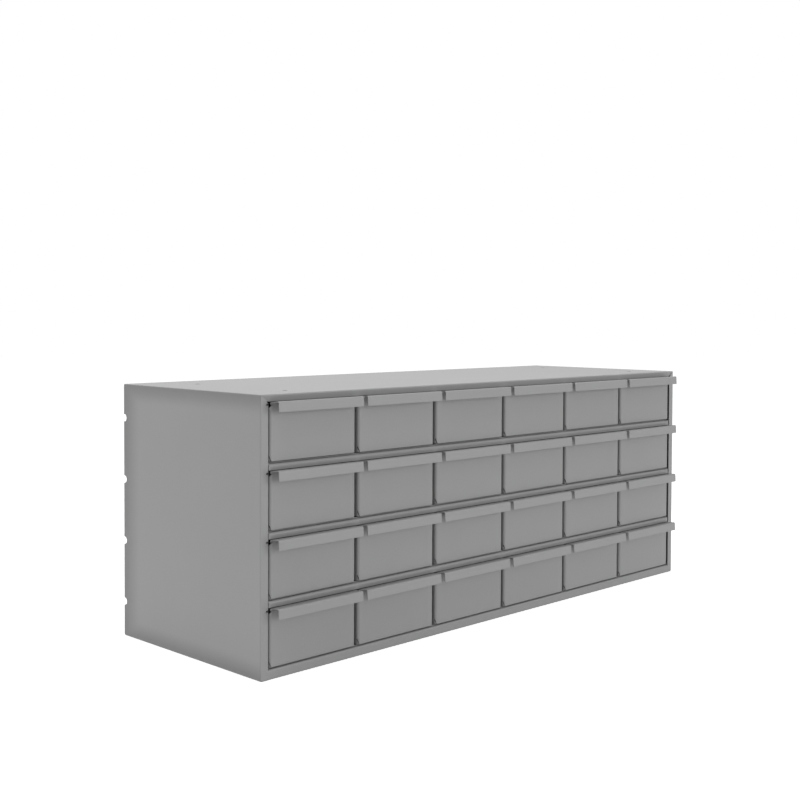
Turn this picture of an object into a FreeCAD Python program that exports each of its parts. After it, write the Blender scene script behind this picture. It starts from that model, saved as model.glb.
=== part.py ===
import FreeCAD, Part
import math
import os
from FreeCAD import Vector

# Steel parts bin cabinet: a folded sheet case with four tiers of six sliding drawers.
# Lengths are in millimetres. X runs across the front, the front faces -Y and +Z is up.
# The origin lies under the middle of the whole part, in the plane that it stands on.

# Case: the outside, and how it is divided
case_width = 857.0
case_depth = 286.0
case_height = 330.0
case_sheet = 0.9
tiers = 4
columns = 6

# Edges of the case as seen from the front
side_flange = 10.8
top_flange = 8.3
top_flange_lean = 1.5
base_rail = 12.3
shelf_rail = 7.9
shelf_rail_face = 4.8
shelf_rail_slant = 0.4
shelf_end_gap = 0.8
shelf_end_round = 2.5

# Folds of the case
corner_bend = 0.6
foot_bend = 1.8
front_bend = 0.6
base_bend = 1.9
shelf_bend = 2.4
rail_lip_bend = 0.5
edge_bend = 1.0
upright_round_share = 0.9
mitre_gap = 0.3
mitre_notch = 3.0
corner_relief_radius = 0.6
corner_relief_inset = 1.9
corner_relief_depth = 1.2
seam_cut = 1.0
rail_notch_drop = 2.3
rail_notch_height = 2.3
rail_notch_depth = 2.6

# Rear of the case
rear_flange = 10.0
rear_slit = 0.8
panel_sheet = 0.9
panel_edge_inset = 7.2
notch_radius = 4.9
notch_inset = 2.0
notch_from_bottom = 45.2
notch_from_top = 44.2

# Holes in the top, for bolts of a quarter inch
top_hole_radius = 3.3
top_hole_from_side = 68.0
top_hole_from_front = 40.0
top_hole_from_rear = 68.0

# Floor and shelves: flat plates that lie on folded rails and on cleats
plate_setback = 5.0
rail_leg = 16.0
rest_flange = 18.0
cleat_drop = 10.0
cleat_leg = 8.0
seat_gap = 0.3

# Guides that stand between the drawers
guide_sheet = 0.75
guide_height = 14.0
guide_foot = 8.0
guide_clearance = 1.0
guide_bend = 0.4
guide_front_setback = 17.0
guide_rear_setback = 6.0
guide_wall_flange = 9.0

# Drawers: folded sheet, with the face just behind the front of the case
drawer_sheet = 0.75
drawer_gap = 4.75
face_recess = 0.2
slide_clearance = 0.3
close_gap = 0.5
drawer_headroom = 2.2
tray_bend = 1.65
tray_flange = 12.0
tray_flange_gap = 0.3

# Drawer front: a face with turned back sides and a folded handle along its top
face_side_bend = 3.15
face_bottom_lift = 0.35
face_side_lap = 14.0
side_strip_headroom = 3.0
side_strip_relief = 0.5
corner_slit = 2.4
corner_slit_width = 2.0
corner_slit_height = 6.5
corner_slit_depth = 3.0
corner_nick_width = 3.2
corner_nick_height = 4.5
handle_reach = 15.9
handle_end_inset = 1.15
handle_root_gap = 0.5
handle_rise = 1.9
handle_root_bend = 1.2
handle_bend = 1.4
lip_height = 12.6
lip_slant = 0.6

# Stop ears at the back of each drawer, which catch behind the rail above
ear_length = 46.0
ear_headroom = 1.0
ear_slope = 6.0
stop_gap = 0.4

# How far every cut runs past what it cuts
overrun = 5.0

# Places that follow from the sizes above
half_width = case_width / 2
front_y = handle_reach - (case_depth + handle_reach) / 2
rear_y = front_y + case_depth
panel_y = rear_y - case_sheet - panel_sheet
opening_half = half_width - side_flange
wall_x = half_width - case_sheet
column_pitch = 2 * opening_half / columns
tier_pitch = (case_height - base_rail - top_flange + shelf_rail) / tiers
opening_height = tier_pitch - shelf_rail - case_sheet
corner_seam = half_width - corner_bend - case_sheet
upright_round = upright_round_share * (corner_bend + case_sheet)
drawer_half = (column_pitch - drawer_gap) / 2
tray_half = drawer_half - drawer_sheet
face_y = front_y + face_recess
side_lead = face_side_bend + drawer_sheet
tray_front_y = face_y + side_lead
tray_back_y = panel_y - case_sheet - close_gap
tray_bottom = slide_clearance + drawer_sheet
tray_top = opening_height - drawer_headroom
face_bottom = tray_bottom + face_bottom_lift
ear_top = tier_pitch - 2 * case_sheet - ear_headroom
handle_root = opening_height - handle_root_gap
lip_top = handle_root + handle_rise
stop_y = front_y + max(shelf_rail_slant, top_flange_lean) + case_sheet + stop_gap
slide_travel = tray_back_y - ear_length - stop_y
notch_pitch = (case_height - notch_from_bottom - notch_from_top) / (tiers - 1)


def floor_z(row):
    """Height of the plate under a row of drawers, at its top. Row 1 is the top one."""
    return base_rail + case_sheet + (tiers - row) * tier_pitch


def column_x(column):
    """Middle of a column of drawers. Column 1 is the left one, seen from the front."""
    return (column - 0.5) * column_pitch - opening_half


def line(start, end):
    return Part.LineSegment(start, end).toShape()


def path_edges(points, radii):
    """Edges of a path through the points, with a tangent arc at each inner corner."""
    edges = []
    start = points[0]
    for before, corner, after, radius in zip(points, points[1:], points[2:], radii):
        into = (corner - before).normalize()
        away = (after - corner).normalize()
        reach = radius * math.tan(into.getAngle(away) / 2)
        first = corner - into * reach
        last = corner + away * reach
        inward = (away - into).normalize()
        centre = corner + inward * math.hypot(radius, reach)
        edges.append(line(start, first))
        edges.append(Part.Arc(first, centre - inward * radius, last).toShape())
        start = last
    edges.append(line(start, points[-1]))
    return edges


def folded(points, bends, sheet, run):
    """Sheet folded along a path and run out straight.

    The path follows one face of the sheet. The sheet lies on the side that the path's
    heading, crossed with the run, points to. Each corner has its inside bend radius.
    """
    across = Vector(run).normalize()
    headings = [(end - start).normalize() for start, end in zip(points, points[1:])]
    sides = [heading.cross(across) for heading in headings]
    far = [points[0] + sides[0] * sheet]
    near_radii = []
    far_radii = []
    for index, bend in enumerate(bends):
        middle = (sides[index] + sides[index + 1]).normalize()
        far.append(points[index + 1] + middle * (sheet / middle.dot(sides[index])))
        sheet_inside = (headings[index + 1] - headings[index]).dot(middle) > 0
        near_radii.append(bend + sheet if sheet_inside else bend)
        far_radii.append(bend if sheet_inside else bend + sheet)
    far.append(points[-1] + sides[-1] * sheet)
    outline = path_edges(points, near_radii)
    outline.append(line(points[-1], far[-1]))
    outline += path_edges(far[::-1], far_radii[::-1])
    outline.append(line(far[0], points[0]))
    return Part.Face(Part.Wire(outline)).extrude(run)


def block(low, high):
    """Box between two opposite corners."""
    size = high - low
    return Part.makeBox(size.x, size.y, size.z, low)


def prism(points, run):
    """Polygon run out straight."""
    return Part.Face(Part.makePolygon(points + [points[0]])).extrude(run)


def mirrored(shape):
    """The same shape on the other side of the plane x = 0."""
    return shape.mirror(Vector(0, 0, 0), Vector(1, 0, 0))


def both_sides(shape):
    return [shape, mirrored(shape)]


def joined(shape, others):
    """One solid of several that touch, with its flat faces merged."""
    return shape.fuse(others).removeSplitter()


def upright_edges(shape, x, y):
    """Edges of a shape that stand upright at a given x, on either side, and y."""
    found = []
    for edge in shape.Edges:
        box = edge.BoundBox
        thin = max(box.XLength, box.YLength) < case_sheet / 2
        tall = box.ZLength > case_height / 2
        near = abs(abs(box.Center.x) - x) + abs(box.Center.y - y) < case_sheet / 2
        if thin and tall and near:
            found.append(edge)
    return found


# Case wrapper

def case_plate(y):
    """Flat plate of the outline of the case, one sheet thick, from y backwards."""
    corners = [Vector(0, y, 0), Vector(half_width, y, 0), Vector(half_width, y, case_height)]
    corners += [Vector(-half_width, y, case_height), Vector(-half_width, y, 0), Vector(0, y, 0)]
    foot = foot_bend + case_sheet
    corner = corner_bend + case_sheet
    outline = Part.Wire(path_edges(corners, [foot, corner, corner, foot]))
    return Part.Face(outline).extrude(Vector(0, case_sheet, 0))


def mitre_z(x):
    """Height of the mitre between the side flange and the top flange at x."""
    return case_height - (half_width - x) * top_flange / side_flange


def side_front_flange():
    """Front flange of the right side, mitred at its top and notched at the mitre's end."""
    y = front_y - overrun
    notch_x = opening_half + mitre_notch
    area = prism([
        Vector(half_width + overrun, y, -overrun),
        Vector(half_width + overrun, y, case_height + overrun),
        Vector(corner_seam, y, case_height + overrun),
        Vector(corner_seam, y, mitre_z(corner_seam)),
        Vector(notch_x, y, mitre_z(notch_x)),
        Vector(opening_half, y, mitre_z(opening_half) - mitre_notch),
        Vector(opening_half, y, -overrun),
    ], Vector(0, 2 * overrun, 0))
    return case_plate(front_y).common(area)


def top_front_flange(depth):
    """Front flange of the top, which leans back and is mitred at both ends."""
    flange = folded([
        Vector(-corner_seam, front_y + top_flange_lean, case_height - top_flange),
        Vector(-corner_seam, front_y, case_height),
        Vector(-corner_seam, front_y + depth, case_height),
    ], [front_bend], case_sheet, Vector(2 * corner_seam, 0, 0))
    y = front_y - overrun
    inner_x = opening_half - mitre_gap
    below = case_height - top_flange - overrun
    waste = prism([
        Vector(inner_x, y, below),
        Vector(inner_x, y, mitre_z(opening_half)),
        Vector(corner_seam, y, mitre_z(corner_seam) + mitre_gap),
        Vector(corner_seam + overrun, y, mitre_z(corner_seam) + mitre_gap),
        Vector(corner_seam + overrun, y, below),
    ], Vector(0, 2 * overrun + top_flange_lean, 0))
    return flange.cut(both_sides(waste))


def rear_flanges():
    """Flanges round the back of the case, parted by a slit at each upper corner."""
    inner_x = half_width - rear_flange
    inner_z = case_height - rear_flange
    y = rear_y - case_sheet
    middle = block(Vector(-inner_x, y - overrun, -overrun), Vector(inner_x, rear_y + overrun, inner_z))
    slope = Vector(1, 0, 1).normalize()
    width = Vector(0, 0, rear_slit)
    start = Vector(inner_x, y - overrun, inner_z) - slope * overrun
    reach = slope * (overrun + rear_flange - corner_bend)
    slit = prism([start, start + reach, start + reach + width, start + width],
                 Vector(0, 2 * overrun, 0))
    return case_plate(y).cut([middle] + both_sides(slit))


def rear_notches():
    """Tools that cut a round notch through each rear edge, one for each tier."""
    tools = []
    for tier in range(tiers):
        z = notch_from_bottom + tier * notch_pitch
        through_side = Part.makeCylinder(
            notch_radius, 2 * overrun, Vector(half_width - overrun, rear_y - notch_inset, z),
            Vector(1, 0, 0))
        through_flange = Part.makeCylinder(
            notch_radius, 2 * overrun, Vector(half_width - notch_inset, rear_y - overrun, z),
            Vector(0, 1, 0))
        tools += both_sides(through_side) + both_sides(through_flange)
    return tools


def top_holes():
    """Tools for the four bolt holes through the top."""
    x = half_width - top_hole_from_side
    z = case_height - overrun
    tools = []
    for y in (front_y + top_hole_from_front, rear_y - top_hole_from_rear):
        hole = Part.makeCylinder(top_hole_radius, 2 * overrun, Vector(x, y, z), Vector(0, 0, 1))
        tools += both_sides(hole)
    return tools


def corner_reliefs():
    """Tools for the relief hole on the top's front fold, at each of its ends."""
    inward = Vector(0, 1, -1).normalize()
    edge = Vector(half_width - corner_relief_inset, front_y, case_height)
    place = edge - inward * overrun
    return both_sides(Part.makeCylinder(corner_relief_radius, overrun + corner_relief_depth,
                                        place, inward))


def rail_notches():
    """Small notches in the inner edges of the side flanges, just under each rail."""
    notches = []
    for row in range(1, tiers + 1):
        z = floor_z(row) + opening_height - rail_notch_drop
        notches += both_sides(block(
            Vector(opening_half - overrun, front_y - overrun, z - rail_notch_height),
            Vector(opening_half + rail_notch_depth, front_y + overrun, z)))
    return notches


def case_wrapper():
    """Top, sides and feet from one sheet, with flanges turned in at the front and back."""
    shell = folded([
        Vector(opening_half, front_y, 0),
        Vector(half_width, front_y, 0),
        Vector(half_width, front_y, case_height),
        Vector(-half_width, front_y, case_height),
        Vector(-half_width, front_y, 0),
        Vector(-opening_half, front_y, 0),
    ], [foot_bend, corner_bend, corner_bend, foot_bend], case_sheet, Vector(0, case_depth, 0))
    body = joined(shell, both_sides(side_front_flange()) + [rear_flanges()])
    step = front_bend + 2 * case_sheet
    under_top = case_height - case_sheet - seam_cut
    body = body.cut(block(Vector(-corner_seam, front_y - overrun, under_top),
                          Vector(corner_seam, front_y + step, case_height + overrun)))
    body = body.makeFillet(upright_round, upright_edges(body, half_width, front_y))
    body = body.makeFillet(upright_round, upright_edges(body, half_width, rear_y))
    body = joined(body, [top_front_flange(step)])
    return body.cut(rear_notches() + top_holes() + corner_reliefs() + rail_notches())


# Floor, shelves and back, each drawn with the top of its plate at z = 0

def plate():
    """Flat plate that fills the case behind its front flanges."""
    return block(Vector(-wall_x, front_y + plate_setback, -case_sheet), Vector(wall_x, panel_y, 0))


def side_cleat(low):
    """Angle on the right wall that carries a plate. It reaches down to z = low."""
    y = front_y + case_sheet + seat_gap
    return folded([
        Vector(wall_x, y, low),
        Vector(wall_x, y, -case_sheet),
        Vector(opening_half + seat_gap, y, -case_sheet),
    ], [edge_bend], case_sheet, Vector(0, panel_y - y, 0))


def base_pan():
    """Floor of the lowest tier: a plate on a front and a rear rail, and a cleat at each side."""
    x = -opening_half
    run = Vector(2 * opening_half, 0, 0)
    low = -case_sheet - base_rail
    front_rail = folded([
        Vector(x, front_y + rest_flange, low),
        Vector(x, front_y, low),
        Vector(x, front_y, -case_sheet),
        Vector(x, front_y + rail_leg, -case_sheet),
    ], [edge_bend, base_bend], case_sheet, run)
    rear_rail = folded([
        Vector(x, panel_y - rail_leg, -case_sheet),
        Vector(x, panel_y, -case_sheet),
        Vector(x, panel_y, low),
        Vector(x, panel_y - rest_flange, low),
    ], [edge_bend, edge_bend], case_sheet, run)
    cleats = both_sides(side_cleat(foot_bend + seat_gap - base_rail))
    return Part.makeCompound([plate(), front_rail, rear_rail] + cleats)


def rail_ends(half):
    """Plan of the shelf's rail, with its front corners rounded, as a deep block."""
    low = -case_sheet - shelf_rail - overrun
    back = front_y + rail_leg + overrun
    plan = [
        Vector(0, front_y, low), Vector(half, front_y, low), Vector(half, back, low),
        Vector(-half, back, low), Vector(-half, front_y, low), Vector(0, front_y, low),
    ]
    outline = Part.Wire(path_edges(plan, [shelf_end_round] * 4))
    return Part.Face(outline).extrude(Vector(0, 0, shelf_rail + 2 * overrun))


def shelf():
    """Shelf between two tiers: a plate on a folded front rail and on cleats at three walls."""
    half = opening_half - shelf_end_gap
    rail = folded([
        Vector(-half, front_y + shelf_rail_slant, -case_sheet - shelf_rail),
        Vector(-half, front_y, -case_sheet - shelf_rail_face),
        Vector(-half, front_y, -case_sheet),
        Vector(-half, front_y + rail_leg, -case_sheet),
    ], [rail_lip_bend, shelf_bend], case_sheet, Vector(2 * half, 0, 0)).common(rail_ends(half))
    low = -case_sheet - cleat_drop
    rear_cleat = folded([
        Vector(opening_half, panel_y, low),
        Vector(opening_half, panel_y, -case_sheet),
        Vector(opening_half, panel_y - cleat_leg, -case_sheet),
    ], [edge_bend], case_sheet, Vector(-2 * opening_half, 0, 0))
    return Part.makeCompound([plate(), rail, rear_cleat] + both_sides(side_cleat(low)))


def back_panel():
    """Flat sheet in front of the rear flanges."""
    half = half_width - panel_edge_inset
    return block(Vector(-half, panel_y, case_sheet + seat_gap),
                 Vector(half, panel_y + panel_sheet, case_height - case_sheet - seat_gap))


# Guides

def middle_guide():
    """Folded guide that stands between two drawers, with a foot under each."""
    y = front_y + guide_front_setback
    half = drawer_gap / 2 - guide_clearance
    foot = half + guide_foot
    return folded([
        Vector(foot, y, guide_sheet),
        Vector(half, y, guide_sheet),
        Vector(half, y, guide_height),
        Vector(-half, y, guide_height),
        Vector(-half, y, guide_sheet),
        Vector(-foot, y, guide_sheet),
    ], [guide_bend] * 4, guide_sheet, Vector(0, panel_y - guide_rear_setback - y, 0))


def end_guide():
    """Folded guide between the last drawer of a tier and the right wall of the case."""
    y = front_y + guide_front_setback
    face = opening_half - drawer_gap / 2 + guide_clearance
    inner_wall = wall_x - guide_sheet
    return folded([
        Vector(inner_wall, y, guide_height + guide_wall_flange),
        Vector(inner_wall, y, guide_height),
        Vector(face, y, guide_height),
        Vector(face, y, guide_sheet),
        Vector(face - guide_foot, y, guide_sheet),
    ], [guide_bend] * 3, guide_sheet, Vector(0, panel_y - guide_rear_setback - y, 0))


def tier_guides():
    """All the guides of one tier, as separate solids on a floor at z = 0."""
    guides = both_sides(end_guide())
    for column in range(1, columns):
        guide = middle_guide()
        guide.translate(Vector(column_x(column) + column_pitch / 2, 0, 0))
        guides.append(guide)
    return Part.makeCompound(guides)


# Drawers, drawn about x = 0 on a floor at z = 0

def tray_section(y):
    """Path over the outside of a tray at y, from one top edge round to the other."""
    return [Vector(-tray_half, y, tray_top), Vector(-tray_half, y, tray_bottom),
            Vector(tray_half, y, tray_bottom), Vector(tray_half, y, tray_top)]


def drawer_tray():
    """Bottom, sides and low front flange from one sheet, a back wall, and the two stop ears."""
    path = tray_section(tray_front_y)
    run = Vector(0, tray_back_y - tray_front_y, 0)
    channel = folded(path, [tray_bend, tray_bend], drawer_sheet, run)
    outer = tray_bend + drawer_sheet
    outline = path_edges(path, [outer, outer]) + [line(path[-1], path[0])]
    back = Part.Face(Part.Wire(outline)).extrude(Vector(0, drawer_sheet, 0))
    back.translate(Vector(0, tray_back_y - drawer_sheet - tray_front_y, 0))
    flange_half = drawer_half - side_lead - tray_flange_gap
    flange_y = face_y + drawer_sheet
    flange = folded([
        Vector(-flange_half, tray_front_y, tray_bottom),
        Vector(-flange_half, flange_y, tray_bottom),
        Vector(-flange_half, flange_y, tray_bottom + tray_flange),
    ], [tray_bend], drawer_sheet, Vector(2 * flange_half, 0, 0))
    x = tray_half - drawer_sheet
    ear_front = tray_back_y - ear_length
    ear = prism([
        Vector(x, ear_front, tray_top),
        Vector(x, ear_front, ear_top),
        Vector(x, tray_back_y - ear_slope, ear_top),
        Vector(x, tray_back_y, tray_top),
    ], Vector(drawer_sheet, 0, 0))
    return joined(channel, [back, flange] + both_sides(ear))


def face_side():
    """Right side of the face, turned back to lap the tray."""
    return folded([
        Vector(drawer_half, face_y + face_side_lap, face_bottom),
        Vector(drawer_half, face_y, face_bottom),
        Vector(drawer_half - side_lead - drawer_sheet, face_y, face_bottom),
    ], [face_side_bend], drawer_sheet,
        Vector(0, 0, handle_root - side_strip_headroom - side_strip_relief - face_bottom))


def drawer_front():
    """Face, folded handle and turned back sides from one sheet."""
    handle_half = drawer_half - handle_end_inset
    back_y = face_y + drawer_sheet
    tip_y = front_y - handle_reach
    strip = folded([
        Vector(-handle_half, tip_y, lip_top - lip_height),
        Vector(-handle_half, tip_y + lip_slant, lip_top),
        Vector(-handle_half, back_y, handle_root),
        Vector(-handle_half, back_y, face_bottom),
    ], [handle_bend, handle_root_bend], drawer_sheet, Vector(2 * handle_half, 0, 0))
    edge_x = drawer_half - side_lead
    strip_top = handle_root - side_strip_headroom
    edge = block(Vector(edge_x, face_y - overrun, -overrun),
                 Vector(drawer_half + overrun, face_y + face_side_lap + overrun, strip_top))
    body = joined(strip.cut(both_sides(edge)), both_sides(face_side()))
    rise = Vector(corner_slit_width, 0, corner_slit_height)
    start = Vector(drawer_half - corner_slit_width, face_y - overrun, face_bottom)
    width = Vector(0, 0, corner_slit)
    low = start - rise
    high = start + rise * 2
    depth = Vector(0, overrun + corner_slit_depth, 0)
    slit = prism([low, high, high + width, low + width], depth)
    fall = Vector(corner_nick_width, 0, -corner_nick_height)
    inner = Vector(drawer_half - corner_nick_width, face_y - overrun, strip_top - side_strip_relief / 2)
    nick = prism([inner, inner + fall * 2, inner + Vector(2 * corner_nick_width, 0, 0)], depth)
    return body.cut(both_sides(slit) + both_sides(nick))


# The whole assembly

def placed(shape, x, z):
    copy = shape.copy()
    copy.translate(Vector(x, 0, z))
    return copy


def assembly():
    """Every node by name, where it lies with the drawers shut."""
    nodes = {
        "case_wrapper": case_wrapper(),
        "base_pan": placed(base_pan(), 0, floor_z(tiers)),
        "back_panel": back_panel(),
    }
    guides = tier_guides()
    tray = drawer_tray()
    front = drawer_front()
    one_shelf = shelf()
    for row in range(1, tiers + 1):
        z = floor_z(row)
        if row < tiers:
            nodes["shelf_%d" % row] = placed(one_shelf, 0, z)
        nodes["guides_row_%d" % row] = placed(guides, 0, z)
        for column in range(1, columns + 1):
            x = column_x(column)
            nodes["drawer_tray_r%dc%d" % (row, column)] = placed(tray, x, z)
            nodes["drawer_front_r%dc%d" % (row, column)] = placed(front, x, z)
    return nodes


def main():
    os.makedirs("parts", exist_ok=True)
    nodes = assembly()
    for name, shape in nodes.items():
        shape.exportStep("parts/%s.step" % name)
    print("nodes", len(nodes))
    print("drawer travel %.1f mm" % slide_travel)


main()
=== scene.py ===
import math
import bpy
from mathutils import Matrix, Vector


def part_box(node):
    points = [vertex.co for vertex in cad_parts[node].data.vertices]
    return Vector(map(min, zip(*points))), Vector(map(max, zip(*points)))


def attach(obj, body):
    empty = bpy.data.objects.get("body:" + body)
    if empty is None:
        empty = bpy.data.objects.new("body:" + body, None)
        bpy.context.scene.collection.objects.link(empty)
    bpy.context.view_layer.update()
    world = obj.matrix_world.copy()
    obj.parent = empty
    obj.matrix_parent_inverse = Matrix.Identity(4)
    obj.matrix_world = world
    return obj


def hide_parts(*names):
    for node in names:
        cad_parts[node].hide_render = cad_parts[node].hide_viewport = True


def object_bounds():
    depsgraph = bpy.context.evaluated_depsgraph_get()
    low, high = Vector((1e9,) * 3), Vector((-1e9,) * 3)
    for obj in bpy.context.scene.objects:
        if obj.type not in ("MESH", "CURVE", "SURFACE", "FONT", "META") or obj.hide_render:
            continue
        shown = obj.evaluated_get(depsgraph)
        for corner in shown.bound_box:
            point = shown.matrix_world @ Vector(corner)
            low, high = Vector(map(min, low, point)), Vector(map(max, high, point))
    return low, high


bl_info = {
    "name": "Parts bin cabinet",
    "version": (1, 0, 0),
    "blender": (4, 5, 0),
    "location": "View3D > Sidebar > Parts cabinet",
    "description": "Dresses the steel parts bin cabinet: drawer fronts, powder coat and stage",
    "category": "Object",
}

import bmesh
import bpy
import numpy as np
from bpy.props import FloatProperty, FloatVectorProperty, PointerProperty
from mathutils import Matrix, Vector

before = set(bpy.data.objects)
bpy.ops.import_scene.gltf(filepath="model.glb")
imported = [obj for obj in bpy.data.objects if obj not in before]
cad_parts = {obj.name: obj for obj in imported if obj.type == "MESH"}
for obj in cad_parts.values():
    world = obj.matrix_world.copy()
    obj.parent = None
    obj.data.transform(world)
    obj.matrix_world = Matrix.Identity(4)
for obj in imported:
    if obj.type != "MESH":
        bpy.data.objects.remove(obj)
CAD_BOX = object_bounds()

MM = 0.001
ROWS = 4
COLUMNS = 6
CASE_NODES = ["case_wrapper", "base_pan", "back_panel"] + ["shelf_%d" % row for row in range(1, ROWS)]
GUIDE_NODES = ["guides_row_%d" % row for row in range(1, ROWS + 1)]
DRAWERS = ["r%dc%d" % (row, column) for row in range(1, ROWS + 1) for column in range(1, COLUMNS + 1)]

# Folding of the sheets
MERGE_GAP = 0.01 * MM
SAME_PLACE = 1e-7
CUT_BEVEL = 0.12 * MM
CUT_ANGLE = math.radians(50.0)
SHARP_ANGLE = math.radians(32.0)

# Cells of the drawer front's grids
LIP_CELLS = 8
HANDLE_CELLS = 10
DROP_CELLS = 3
RELIEF_CELLS = 1
FACE_CELLS = 52
FOLD_CELLS = 8
WIDTH_CELLS = 40
BEND_CELLS = 11
LAP_CELLS = 10
CORNER_CELLS = 5
END_CELLS = 2

# Spot weld marks on the drawer front's turned sides
WELD_HEIGHT_SHARES = (0.22, 0.52, 0.82)
WELD_REACH_SHARE = 0.62
WELD_STEEPNESS = 4

# Powder coat, with the scales of its noises in cells per metre
COAT_IOR = 1.5
MOTTLE_SCALE = 9.0
FLECK_SCALE = 700.0
# Painted shade along the rim of the case's sides: rounding of its corners and the normal shares over which it
# fades in
PAINTED_SHADE_ROUNDING = 10.0 * MM
PAINTED_SHADE_FACING_SHARES = (0.5, 0.95)

# Stage, with its sizes and places in metres
WHITE = (1.0, 1.0, 1.0)
FLOOR_HALF = 9.0
FLOOR_ROUGHNESS = 0.9
LIGHTS = {
    "Overhead": {"size": (2.6, 2.0), "place": (-0.45, 0.0, 2.3), "aim": (0.0, 0.0, 0.2)},
    "Left": {"size": (1.6, 1.2), "place": (-2.8, 1.3, 1.0), "aim": (-0.43, 0.0, 0.17)},
    "Front": {"size": (1.6, 1.2), "place": (0.9, -2.9, 0.8), "aim": (0.0, -0.15, 0.17)},
}


def length(name, description, millimetres):
    return FloatProperty(name=name, description=description, default=millimetres * MM,
                         min=0.0, unit="LENGTH", subtype="DISTANCE", precision=5)


def share(name, description, default):
    return FloatProperty(name=name, description=description, default=default,
                         min=0.0, max=1.0, subtype="FACTOR")


def colour(name, description, default):
    return FloatVectorProperty(name=name, description=description, default=default,
                               min=0.0, max=1.0, size=3, subtype="COLOR")


def power(name, description, watts):
    return FloatProperty(name=name, description=description, default=watts, min=0.0, unit="POWER")


def angle(name, description, radians):
    return FloatProperty(name=name, description=description, default=radians,
                         unit="ROTATION", subtype="ANGLE", precision=5)


class CabinetFrontSettings(bpy.types.PropertyGroup):
    sheet: length("Sheet", "Thickness of the drawer's sheet", 0.75)
    handle_depth: length("Handle depth", "From the tip of the lip to the face", 16.1)
    handle_rise: length("Handle rise", "Height of the handle's outer bend above its root", 1.9)
    handle_bend: length("Handle bend", "Inside radius of the bend above the lip", 1.4)
    root_bend: length("Root bend", "Inside radius of the bend between handle and face", 1.2)
    end_inset: length("Handle end inset", "How far the handle's ends stop short of the sides", 1.15)
    lip_height: length("Lip height", "Height of the lip that hangs from the handle", 12.6)
    lip_slant: length("Lip slant", "How far the lip's top leans back", 0.6)
    side_bend: length("Side bend", "Inside radius of the bends at the sides of the face", 3.15)
    side_lap: length("Side lap", "Reach of the sides turned back along the tray", 14.0)
    side_drop: length("Side drop", "From the handle's root to the top of the turned side", 3.0)
    side_relief: length("Side relief", "Slot between the turned side and the handle", 0.5)
    slit: length("Corner slit", "Upright opening of the slanted slit at each lower corner", 2.4)
    slit_width: length("Slit width", "From the side to where the slit meets the lower edge", 2.0)
    slit_height: length("Slit height", "Rise of the slit over its width", 6.5)
    slit_depth: length("Slit depth", "How far the slits and nicks reach round the bends", 3.0)
    nick_width: length("Nick width", "Width of the nick at each upper corner", 3.2)
    nick_height: length("Nick height", "Fall of the nick over its width", 4.5)
    crown: length("Crown", "How far the middle of the face stands proud", 0.25)
    weld_depth: length("Weld depth", "Depth of the spot weld marks on the turned sides", 0.12)
    weld_radius: length("Weld radius", "Radius of the spot weld marks", 2.2)


class CabinetCoatSettings(bpy.types.PropertyGroup):
    case_colour: colour("Case colour", "Grey of the case's powder coat", (0.285, 0.286, 0.285))
    drawer_colour: colour("Drawer colour", "Grey of the drawers' powder coat", (0.285, 0.286, 0.285))
    guide_colour: colour("Guide colour", "Grey of the guides' powder coat", (0.27, 0.271, 0.27))
    mottle: share("Mottle", "Slow change of the grey over a panel", 0.03)
    fleck: share("Fleck", "Fine change of the grey within a few millimetres", 0.025)
    roughness: share("Roughness", "Roughness of the cured coat", 0.42)
    roughness_spread: share("Roughness spread", "How much the roughness changes over a panel", 0.06)
    peel_size: length("Peel size", "Width of the coat's orange peel", 1.6)
    peel_depth: length("Peel depth", "Depth of the coat's orange peel", 0.02)
    # Painted shade: these darken the case coat's colour along the rear, top and bottom edges of its sides,
    # standing in for shade there rather than a darker coat
    painted_shade_width: length("Rim width", "Width of the darker rim on the case's sides", 26.0)
    painted_shade_rear: share("Rim at the rear", "Rim's width at top and bottom as a share of that at the rear", 0.65)
    painted_rim_shade: share("Rim shade", "How much darker the coat is along that rim", 0.34)


class CabinetStageSettings(bpy.types.PropertyGroup):
    floor_colour: colour("Floor colour", "Grey of the floor", (0.80, 0.80, 0.80))
    floor_glow: share("Floor glow", "White that the floor adds towards the camera", 0.70)
    sky_level: share("Sky level", "Soft light from all round", 0.42)
    overhead_power: power("Overhead power", "Power of the soft light above", 35.0)
    left_power: power("Left power", "Power of the soft light behind the left side", 15.1)
    front_power: power("Front power", "Power of the soft light before the front", 24.3)


class CabinetCameraSettings(bpy.types.PropertyGroup):
    lens: length("Lens", "Focal length", 54.311)
    sensor: length("Sensor", "Width of the sensor", 36.0)
    shift: FloatVectorProperty(name="Shift", description="Shift of the picture as shares of its width",
                               default=(-0.00641, -0.06774), size=2, precision=5)
    place: FloatVectorProperty(name="Place", description="Where the camera stands",
                               default=(-1.28528, -1.21652, 0.42385), size=3,
                               unit="LENGTH", subtype="TRANSLATION", precision=5)
    yaw: angle("Yaw", "Turn from +Y towards +X", 0.78908)
    pitch: angle("Pitch", "Tilt down from level", 0.02728)
    roll: angle("Roll", "Turn about the line of sight that lifts the right", 0.00388)
    near: length("Near limit", "Distance from which the camera sees", 50.0)
    far: length("Far limit", "Distance up to which the camera sees", 60000.0)


class CabinetSettings(bpy.types.PropertyGroup):
    front: PointerProperty(type=CabinetFrontSettings)
    coat: PointerProperty(type=CabinetCoatSettings)
    stage: PointerProperty(type=CabinetStageSettings)
    camera: PointerProperty(type=CabinetCameraSettings)


def offset_line(points, distance):
    """Corners of a line moved sideways.

    Each corner moves along the mean of the two sides' normals, by the distance divided by
    the cosine of half the turn. The normal of a heading (a, b) is (b, -a).
    """
    points = np.asarray(points, float)
    heading = np.diff(points, axis=0)
    heading /= np.linalg.norm(heading, axis=1)[:, None]
    side = np.stack([heading[:, 1], -heading[:, 0]], axis=1)
    before = np.vstack([side[:1], side])
    after = np.vstack([side, side[-1:]])
    middle = before + after
    middle /= np.linalg.norm(middle, axis=1)[:, None]
    return points + middle * (distance / (middle * before).sum(axis=1))[:, None]


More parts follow.
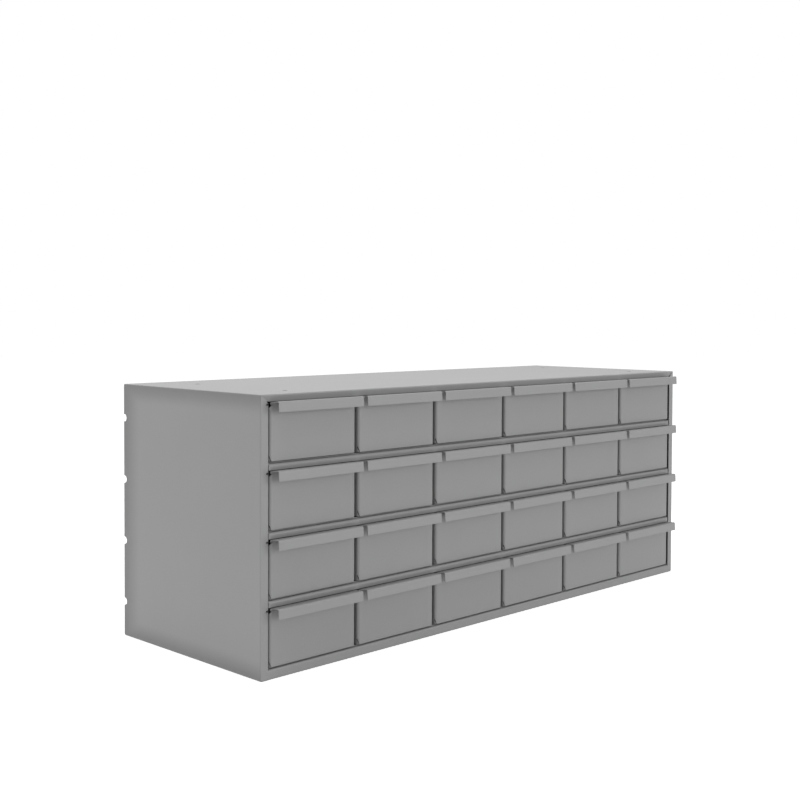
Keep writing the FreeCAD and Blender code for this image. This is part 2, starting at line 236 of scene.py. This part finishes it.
def rounded_line(points, radii, cells, arc_cells):
    """Line through the corners with a tangent arc at each, as an array of points.

    A corner that turns by t gets an arc of radius r that starts r * tan(t / 2) before it.
    Its points are the arc's start turned about the arc's centre by equal steps up to t.
    Each straight run between arcs is divided into its number of cells.
    """
    points = np.asarray(points, float)
    pieces = []
    start = points[0]
    for corner in range(1, len(points)):
        here = points[corner]
        radius = radii[corner - 1] if corner < len(points) - 1 else 0.0
        into = (here - points[corner - 1]) / np.linalg.norm(here - points[corner - 1])
        end = here
        if radius:
            away = (points[corner + 1] - here) / np.linalg.norm(points[corner + 1] - here)
            turn = math.atan2(into[0] * away[1] - into[1] * away[0], into @ away)
            end = here - into * radius * math.tan(abs(turn) / 2)
        steps = np.linspace(0.0, 1.0, cells[corner - 1] + 1)[:, None]
        pieces.append((start + (end - start) * steps)[1 if pieces else 0:])
        start = end
        if radius:
            left = np.array([-into[1], into[0]]) * math.copysign(radius, turn)
            turns = np.linspace(0.0, turn, arc_cells + 1)[1:]
            spin = np.array([[np.cos(turns), -np.sin(turns)], [np.sin(turns), np.cos(turns)]])
            arc = (end + left) + np.einsum("ijn,j->ni", spin, -left)
            pieces.append(arc)
            start = arc[-1]
    return np.vstack(pieces)


def grid_faces(rows, columns, first):
    """Quads of a grid whose points are numbered row by row from the first."""
    corner = first + np.arange(rows - 1)[:, None] * columns + np.arange(columns - 1)[None, :]
    corner = corner.ravel()
    return np.stack([corner, corner + 1, corner + columns + 1, corner + columns], axis=1)


def sheet_mesh(name, patches, thickness):
    """Mesh of a folded sheet from grids of points on its middle surface.

    Points that two grids share are merged, then the sheet gets its thickness to both sides
    and a fine bevel along its cut edges.
    """
    points = []
    faces = []
    first = 0
    for patch in patches:
        rows, columns = patch.shape[:2]
        points.append(patch.reshape(-1, 3))
        faces.append(grid_faces(rows, columns, first))
        first += rows * columns
    mesh = bpy.data.meshes.new(name)
    mesh.from_pydata(np.vstack(points), [], np.vstack(faces))
    work = bmesh.new()
    work.from_mesh(mesh)
    bmesh.ops.remove_doubles(work, verts=work.verts, dist=MERGE_GAP)
    bmesh.ops.recalc_face_normals(work, faces=work.faces)
    work.to_mesh(mesh)
    work.free()
    blank = bpy.data.objects.new(name, mesh)
    bpy.context.scene.collection.objects.link(blank)
    solidify = blank.modifiers.new("Sheet", "SOLIDIFY")
    solidify.thickness = thickness
    solidify.offset = 0.0
    solidify.use_even_offset = True
    edge = blank.modifiers.new("Cut edge", "BEVEL")
    edge.width = CUT_BEVEL
    edge.segments = 2
    edge.limit_method = "ANGLE"
    edge.angle_limit = CUT_ANGLE
    edge.use_clamp_overlap = True
    graph = bpy.context.evaluated_depsgraph_get()
    finished = bpy.data.meshes.new_from_object(blank.evaluated_get(graph))
    bpy.data.objects.remove(blank)
    bpy.data.meshes.remove(mesh)
    finished.name = name
    return finished


def carried_grid(line, across):
    """Grid of a line in the plane of depth and height, carried across the width."""
    grid = np.empty((len(line), len(across), 3))
    grid[..., 0] = across[None, :]
    grid[..., 1] = line[:, 0, None]
    grid[..., 2] = line[:, 1, None]
    return grid


def turned_grid(side, floor, ceiling, shares):
    """Grid over a line in the plane of width and depth.

    Its rows lie at shares of the way from the floor up to the ceiling of each point.
    """
    grid = np.empty((len(shares), len(side), 3))
    grid[..., 0] = side[None, :, 0]
    grid[..., 1] = side[None, :, 1]
    grid[..., 2] = floor[None, :] + (ceiling - floor)[None, :] * shares[:, None]
    return grid


def front_strip(s, height, side_top):
    """Lip, handle and face of a drawer front: a line in the plane of depth and height.

    It has rounded folds and points at the turned side's top and at its relief.
    """
    t = s.sheet
    back = s.handle_depth + t
    corners = offset_line([
        (0.0, height - s.lip_height), (s.lip_slant, height), (back, height - s.handle_rise), (back, 0.0),
    ], t / 2)
    depth = corners[3][0]
    line = np.vstack([corners[:3], [(depth, side_top + s.side_relief), (depth, side_top)], corners[3:]])
    return rounded_line(line, [s.handle_bend + t / 2, s.root_bend + t / 2, 0.0, 0.0],
                        [LIP_CELLS, HANDLE_CELLS, DROP_CELLS, RELIEF_CELLS, FACE_CELLS], FOLD_CELLS)


def turned_side(s, half, edge, depth, side_top, shares):
    """Grids of a turned side, and of the corner under its slit.

    Both are carried up a line in the plane of width and depth, which goes round the bend and
    back along the tray. A nick slants down from the top, z = top - n * (x - x1), and a slit
    slants up from its foot between z = m * (x - x0) and that plus the slit. Both end part way
    round the bend, past which the corner meets the side at mid slit. Spot weld marks are
    hollows of the form exp(-(r / radius) ^ 4).
    """
    radius = s.side_bend + s.sheet / 2
    slope = s.slit_height / s.slit_width
    fall = s.nick_height / s.nick_width
    foot = half - s.slit_width
    nick = half - s.nick_width + s.side_relief / 2 / fall
    starts = np.array([foot - s.slit / slope, foot, nick])
    last = math.acos(1 - (s.slit_depth - s.sheet / 2) / radius)
    turn = np.sort(np.concatenate([
        np.linspace(0.0, last, BEND_CELLS + 1), np.arcsin((starts - edge) / radius), [math.pi / 2],
    ]))
    bend = np.stack([edge + radius * np.sin(turn), depth + radius * (1 - np.cos(turn))], axis=1)
    back = np.linspace(bend[-1, 1], s.handle_depth + s.side_lap, LAP_CELLS + 1)[1:]
    side = np.vstack([bend, np.stack([np.full(len(back), bend[-1, 0]), back], axis=1)])
    reached = np.append(turn, np.full(len(back), math.pi / 2)) <= last + SAME_PLACE
    slit_line = slope * (side[:, 0] - foot)
    meeting = slit_line[reached][-1] + s.slit / 2
    ceiling = np.where(reached, np.minimum(side_top, side_top - fall * (side[:, 0] - nick)), side_top)
    floor = np.where(reached, np.maximum(0.0, slit_line + s.slit), meeting)
    turned = turned_grid(side, floor, ceiling, shares)
    weld_place = s.handle_depth + WELD_REACH_SHARE * s.side_lap
    for share_up in WELD_HEIGHT_SHARES:
        away = np.hypot(turned[..., 1] - weld_place, turned[..., 2] - share_up * side_top)
        turned[..., 0] -= s.weld_depth * np.exp(-(away / s.weld_radius) ** WELD_STEEPNESS)
    below = side[:, 0] >= foot - SAME_PLACE
    corner_top = np.where(reached, slit_line, meeting)[below]
    corner = turned_grid(side[below], np.zeros(len(corner_top)), corner_top,
                         np.linspace(1.0, 0.0, CORNER_CELLS + 1))
    return turned, corner


def front_patches(s, half, height):
    """Grids of the middle surface of a drawer front, about x = 0, from its lowest corner.

    The strip of lip, handle and face is carried across the width between the bends, and its
    rows above the turned sides are carried on to the handle's ends. The middle of the face
    stands proud by crown * (1 - a^2) * (1 - b^2), where a and b run from -1 to 1 across and
    up it.
    """
    side_top = height - s.handle_rise - s.side_drop - s.side_relief
    strip = front_strip(s, height, side_top)
    depth = strip[-1, 0]
    edge = half - s.side_bend - s.sheet
    across = np.linspace(-edge, edge, WIDTH_CELLS + 1)
    centre = carried_grid(strip, across)
    on_face = np.isclose(strip[:, 0], depth) & (strip[:, 1] <= side_top + SAME_PLACE)
    up = np.clip(strip[:, 1] / side_top * 2 - 1, -1, 1)
    bulge = s.crown * (1 - (across / edge) ** 2)[None, :] * (1 - up ** 2)[:, None]
    centre[..., 1] -= np.where(on_face[:, None], bulge, 0.0)
    turned, corner = turned_side(s, half, edge, depth, side_top, strip[on_face, 1] / side_top)
    upper = strip[:np.flatnonzero(on_face)[0]]
    end = carried_grid(upper, np.linspace(edge, half - s.end_inset, END_CELLS + 1))
    mirror = np.array([-1.0, 1.0, 1.0])
    return [centre, turned, turned * mirror, corner, corner * mirror, end, end * mirror]


def socket(tree, name, kind, direction):
    tree.interface.new_socket(name=name, in_out=direction, socket_type="NodeSocket" + kind)


def node(tree, kind, inputs=None, **settings):
    """Adds a node, sets its attributes, and fills or links its inputs by name or number."""
    made = tree.nodes.new(kind)
    for name, value in settings.items():
        setattr(made, name, value)
    for name, value in (inputs or {}).items():
        if isinstance(value, bpy.types.NodeSocket):
            tree.links.new(value, made.inputs[name])
        else:
            made.inputs[name].default_value = value
    return made


def maths(tree, operation, *values):
    """Result of a math node, whose values are numbers or outputs of other nodes."""
    return node(tree, "ShaderNodeMath", dict(enumerate(values)), operation=operation).outputs[0]


def scaled(tree, vector, factor):
    """A colour or vector times a factor."""
    return node(tree, "ShaderNodeVectorMath", {0: vector, 3: factor}, operation="SCALE").outputs[0]


def centred_noise(tree, place, scale, roughness):
    """Noise from -0.5 to 0.5, with its scale in cells per metre."""
    noise = node(tree, "ShaderNodeTexNoise",
                 {"Vector": place, "Scale": scale, "Detail": 2.0, "Roughness": roughness})
    return maths(tree, "SUBTRACT", noise.outputs["Fac"], 0.5)


def film_group():
    """Group for the coat's colour and roughness.

    The grey is the coat's colour times 1 + 2 * (mottle * slow noise + fleck * fine noise),
    and the roughness drifts by spread * slow noise.
    """
    tree = bpy.data.node_groups.new("Powder film", "ShaderNodeTree")
    socket(tree, "Coat", "Color", "INPUT")
    for name in ("Mottle", "Fleck", "Roughness", "Spread"):
        socket(tree, name, "Float", "INPUT")
    socket(tree, "Colour", "Color", "OUTPUT")
    socket(tree, "Roughness", "Float", "OUTPUT")
    entry = tree.nodes.new("NodeGroupInput").outputs
    place = node(tree, "ShaderNodeTexCoord").outputs["Object"]
    slow = centred_noise(tree, place, MOTTLE_SCALE, 0.5)
    fine = centred_noise(tree, place, FLECK_SCALE, 0.6)
    mottle = maths(tree, "MULTIPLY", slow, entry["Mottle"])
    both = maths(tree, "MULTIPLY_ADD", fine, entry["Fleck"], mottle)
    level = maths(tree, "MULTIPLY_ADD", both, 2.0, 1.0)
    leave = tree.nodes.new("NodeGroupOutput").inputs
    tree.links.new(scaled(tree, entry["Coat"], level), leave["Colour"])
    tree.links.new(maths(tree, "MULTIPLY_ADD", slow, entry["Spread"], entry["Roughness"]), leave["Roughness"])
    return tree


def peel_group():
    """Group for the coat's orange peel: a normal bumped by a noise of the peel's width."""
    tree = bpy.data.node_groups.new("Orange peel", "ShaderNodeTree")
    socket(tree, "Size", "Float", "INPUT")
    socket(tree, "Depth", "Float", "INPUT")
    socket(tree, "Normal", "Vector", "OUTPUT")
    entry = tree.nodes.new("NodeGroupInput").outputs
    place = node(tree, "ShaderNodeTexCoord").outputs["Object"]
    scale = maths(tree, "DIVIDE", 1.0, entry["Size"])
    noise = node(tree, "ShaderNodeTexNoise",
                 {"Vector": place, "Scale": scale, "Detail": 1.0, "Roughness": 0.45})
    bump = node(tree, "ShaderNodeBump",
                {"Height": noise.outputs["Fac"], "Distance": entry["Depth"], "Strength": 1.0})
    leave = tree.nodes.new("NodeGroupOutput").inputs
    tree.links.new(bump.outputs["Normal"], leave["Normal"])
    return tree


def painted_rim_shade_group(low, high):
    """Group for a painted shade along the rim of the case's sides, where the coat's colour is made darker to
    stand in for shade.

    The mask is 1 on the rear, top and bottom edges of a side and fades to 0 over the width,
    as one minus the smooth step of the distance to the nearest of them, with the distance
    to the rear edge counted at a share. It is 0 on faces that don't face along X.
    """
    tree = bpy.data.node_groups.new("Painted side rim shade", "ShaderNodeTree")
    socket(tree, "Width", "Float", "INPUT")
    socket(tree, "Rear", "Float", "INPUT")
    socket(tree, "Mask", "Float", "OUTPUT")
    entry = tree.nodes.new("NodeGroupInput").outputs
    place = node(tree, "ShaderNodeTexCoord").outputs["Object"]
    split = node(tree, "ShaderNodeSeparateXYZ", {0: place}).outputs
    rear = maths(tree, "MULTIPLY", maths(tree, "SUBTRACT", high[1], split["Y"]), entry["Rear"])
    top = maths(tree, "SUBTRACT", high[2], split["Z"])
    bottom = maths(tree, "SUBTRACT", split["Z"], low[2])
    level = maths(tree, "SMOOTH_MIN", top, bottom, PAINTED_SHADE_ROUNDING)
    nearest = maths(tree, "SMOOTH_MIN", level, rear, PAINTED_SHADE_ROUNDING)
    fade = node(tree, "ShaderNodeMapRange",
                {"Value": nearest, "From Max": entry["Width"], "To Min": 1.0, "To Max": 0.0},
                interpolation_type="SMOOTHSTEP").outputs["Result"]
    normal = node(tree, "ShaderNodeNewGeometry").outputs["Normal"]
    facing = maths(tree, "ABSOLUTE", node(tree, "ShaderNodeSeparateXYZ", {0: normal}).outputs["X"])
    least, most = PAINTED_SHADE_FACING_SHARES
    sideways = node(tree, "ShaderNodeMapRange",
                    {"Value": facing, "From Min": least, "From Max": most}).outputs["Result"]
    leave = tree.nodes.new("NodeGroupOutput").inputs
    tree.links.new(maths(tree, "MULTIPLY", fade, sideways), leave["Mask"])
    return tree


def groups():
    """The node groups that the coats share, made once."""
    if "Powder film" not in bpy.data.node_groups:
        film_group()
        peel_group()
        painted_rim_shade_group(*CAD_BOX)
    return bpy.data.node_groups


def coat(name, grey, rim=False):
    """Powder coat in a grey, made once under its name, with a painted shade along the rim of the case's sides
    when rim is set.
    """
    if name in bpy.data.materials:
        return bpy.data.materials[name]
    s = bpy.context.scene.parts_cabinet.coat
    shared = groups()
    material = bpy.data.materials.new(name)
    material.use_nodes = True
    tree = material.node_tree
    film = node(tree, "ShaderNodeGroup", node_tree=shared["Powder film"], inputs={
        "Coat": (*grey, 1.0), "Mottle": s.mottle, "Fleck": s.fleck,
        "Roughness": s.roughness, "Spread": s.roughness_spread,
    })
    peel = node(tree, "ShaderNodeGroup", {"Size": s.peel_size, "Depth": s.peel_depth},
                node_tree=shared["Orange peel"])
    tone = film.outputs["Colour"]
    # Painted shade: the grey is darkened along the rim of the case's sides
    if rim:
        edge = node(tree, "ShaderNodeGroup", {"Width": s.painted_shade_width, "Rear": s.painted_shade_rear},
                    node_tree=shared["Painted side rim shade"])
        tone = scaled(tree, tone, maths(tree, "MULTIPLY_ADD", edge.outputs["Mask"], -s.painted_rim_shade, 1.0))
    shader = tree.nodes["Principled BSDF"].inputs
    shader["IOR"].default_value = COAT_IOR
    tree.links.new(tone, shader["Base Color"])
    tree.links.new(film.outputs["Roughness"], shader["Roughness"])
    tree.links.new(peel.outputs["Normal"], shader["Normal"])
    return material


def dress(nodes, material):
    """Gives CAD nodes a material in all their slots."""
    for name in nodes:
        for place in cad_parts[name].material_slots:
            place.material = material


class CABINET_OT_case(bpy.types.Operator):
    """Coat the case: wrapper, base pan, shelves and back panel"""
    bl_idname = "cabinet.case"
    bl_label = "Case"

    def execute(self, context):
        s = context.scene.parts_cabinet.coat
        # The case coat carries a painted shade along the rim of its sides
        dress(CASE_NODES, coat("Case coat", s.case_colour, rim=True))
        return {"FINISHED"}


class CABINET_OT_guides(bpy.types.Operator):
    """Coat the guides that stand between the drawers"""
    bl_idname = "cabinet.guides"
    bl_label = "Guides"

    def execute(self, context):
        s = context.scene.parts_cabinet.coat
        dress(GUIDE_NODES, coat("Guide coat", s.guide_colour))
        return {"FINISHED"}


class CABINET_OT_trays(bpy.types.Operator):
    """Coat the trays of the drawers"""
    bl_idname = "cabinet.trays"
    bl_label = "Drawer trays"

    def execute(self, context):
        s = context.scene.parts_cabinet.coat
        dress(["drawer_tray_" + key for key in DRAWERS], coat("Drawer coat", s.drawer_colour))
        return {"FINISHED"}


class CABINET_OT_fronts(bpy.types.Operator):
    """Fold the drawer fronts and coat them"""
    bl_idname = "cabinet.fronts"
    bl_label = "Drawer fronts"

    def execute(self, context):
        s = context.scene.parts_cabinet.front
        grey = context.scene.parts_cabinet.coat.drawer_colour
        low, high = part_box("drawer_front_" + DRAWERS[0])
        patches = front_patches(s, (high.x - low.x) / 2, high.z - low.z)
        blank = sheet_mesh("drawer_face", patches, s.sheet)
        blank.materials.append(coat("Drawer coat", grey))
        blank.polygons.foreach_set("use_smooth", np.ones(len(blank.polygons), bool))
        blank.set_sharp_from_angle(angle=SHARP_ANGLE)
        for key in DRAWERS:
            low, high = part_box("drawer_front_" + key)
            mesh = blank.copy()
            mesh.name = "drawer_face_" + key
            mesh.transform(Matrix.Translation(((low.x + high.x) / 2, low.y, low.z)))
            piece = bpy.data.objects.new(mesh.name, mesh)
            context.scene.collection.objects.link(piece)
            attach(piece, "drawer_" + key)
            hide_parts("drawer_front_" + key)
        bpy.data.meshes.remove(blank)
        return {"FINISHED"}


def seen_directly(tree):
    """1 for rays that come from the camera, a reflection or a clear thing, and 0 for others."""
    path = node(tree, "ShaderNodeLightPath").outputs
    seen = maths(tree, "MAXIMUM", path["Is Camera Ray"], path["Is Glossy Ray"])
    return maths(tree, "MAXIMUM", seen, path["Is Transmission Ray"])


def white_backdrop(scene, s):
    """World that looks white and gives a soft light from all round."""
    world = bpy.data.worlds.new("Backdrop")
    scene.world = world
    world.use_nodes = True
    tree = world.node_tree
    background = tree.nodes["Background"].inputs
    background["Color"].default_value = (*WHITE, 1.0)
    level = node(tree, "ShaderNodeMapRange", {"Value": seen_directly(tree), "To Min": s.sky_level})
    tree.links.new(level.outputs["Result"], background["Strength"])


def floor_sheet(scene, s):
    """Floor that looks white and takes a faint shadow."""
    x = np.array([-1.0, 1.0, 1.0, -1.0]) * FLOOR_HALF
    y = np.array([-1.0, -1.0, 1.0, 1.0]) * FLOOR_HALF
    mesh = bpy.data.meshes.new("floor")
    mesh.from_pydata(np.stack([x, y, np.zeros(4)], axis=1), [], [(0, 1, 2, 3)])
    floor = bpy.data.objects.new("floor", mesh)
    scene.collection.objects.link(floor)
    material = bpy.data.materials.new("Floor")
    material.use_nodes = True
    tree = material.node_tree
    shader = tree.nodes["Principled BSDF"].inputs
    shader["Base Color"].default_value = (*s.floor_colour, 1.0)
    shader["Roughness"].default_value = FLOOR_ROUGHNESS
    shader["Specular IOR Level"].default_value = 0.0
    shader["Emission Color"].default_value = (*WHITE, 1.0)
    glow = maths(tree, "MULTIPLY", seen_directly(tree), s.floor_glow)
    tree.links.new(glow, shader["Emission Strength"])
    mesh.materials.append(material)


def soft_light(scene, name, watts, size, place, aim):
    """Rectangular lamp at a place, turned to face a point."""
    lamp = bpy.data.lights.new(name, "AREA")
    lamp.shape = "RECTANGLE"
    lamp.size, lamp.size_y = size
    lamp.energy = watts
    made = bpy.data.objects.new(name, lamp)
    made.location = place
    made.rotation_euler = (Vector(place) - Vector(aim)).to_track_quat("Z", "Y").to_euler()
    scene.collection.objects.link(made)


def photo_camera(scene, s):
    """Camera that sees the cabinet as the photo does."""
    camera = bpy.data.cameras.new("Camera")
    camera.sensor_width = s.sensor / MM
    camera.lens = s.lens / MM
    camera.shift_x, camera.shift_y = s.shift
    camera.clip_start = s.near
    camera.clip_end = s.far
    view = bpy.data.objects.new("Camera", camera)
    aim = Matrix.Rotation(-s.yaw, 4, "Z") @ Matrix.Rotation(math.pi / 2 - s.pitch, 4, "X")
    view.matrix_world = Matrix.Translation(s.place) @ aim @ Matrix.Rotation(s.roll, 4, "Z")
    scene.collection.objects.link(view)
    scene.camera = view


class CABINET_OT_stage(bpy.types.Operator):
    """Set the stage: white backdrop, floor, soft light and camera"""
    bl_idname = "cabinet.stage"
    bl_label = "Stage"

    def execute(self, context):
        scene = context.scene
        s = scene.parts_cabinet.stage
        scene.view_settings.view_transform = "Standard"
        white_backdrop(scene, s)
        floor_sheet(scene, s)
        soft_light(scene, "Overhead", s.overhead_power, **LIGHTS["Overhead"])
        soft_light(scene, "Left", s.left_power, **LIGHTS["Left"])
        soft_light(scene, "Front", s.front_power, **LIGHTS["Front"])
        photo_camera(scene, scene.parts_cabinet.camera)
        return {"FINISHED"}


OPERATORS = (CABINET_OT_case, CABINET_OT_guides, CABINET_OT_trays, CABINET_OT_fronts, CABINET_OT_stage)


class CABINET_PT_sidebar(bpy.types.Panel):
    """The cabinet's pieces and their sizes"""
    bl_idname = "CABINET_PT_sidebar"
    bl_label = "Parts cabinet"
    bl_space_type = "VIEW_3D"
    bl_region_type = "UI"
    bl_category = "Parts cabinet"

    def draw(self, context):
        settings = context.scene.parts_cabinet
        for operator in OPERATORS:
            self.layout.operator(operator.bl_idname)
        for group in (settings.front, settings.coat, settings.stage, settings.camera):
            box = self.layout.box()
            for name in group.__annotations__:
                box.prop(group, name)


CLASSES = (CabinetFrontSettings, CabinetCoatSettings, CabinetStageSettings, CabinetCameraSettings,
           CabinetSettings, *OPERATORS, CABINET_PT_sidebar)


def register():
    for made in CLASSES:
        bpy.utils.register_class(made)
    bpy.types.Scene.parts_cabinet = PointerProperty(type=CabinetSettings)


def unregister():
    del bpy.types.Scene.parts_cabinet
    for made in reversed(CLASSES):
        bpy.utils.unregister_class(made)


def main():
    register()
    for step in (bpy.ops.cabinet.case, bpy.ops.cabinet.guides, bpy.ops.cabinet.trays,
                 bpy.ops.cabinet.fronts, bpy.ops.cabinet.stage):
        if step() != {"FINISHED"}:
            raise RuntimeError("a step of the cabinet did not finish")


if __name__ == "__main__":
    main()
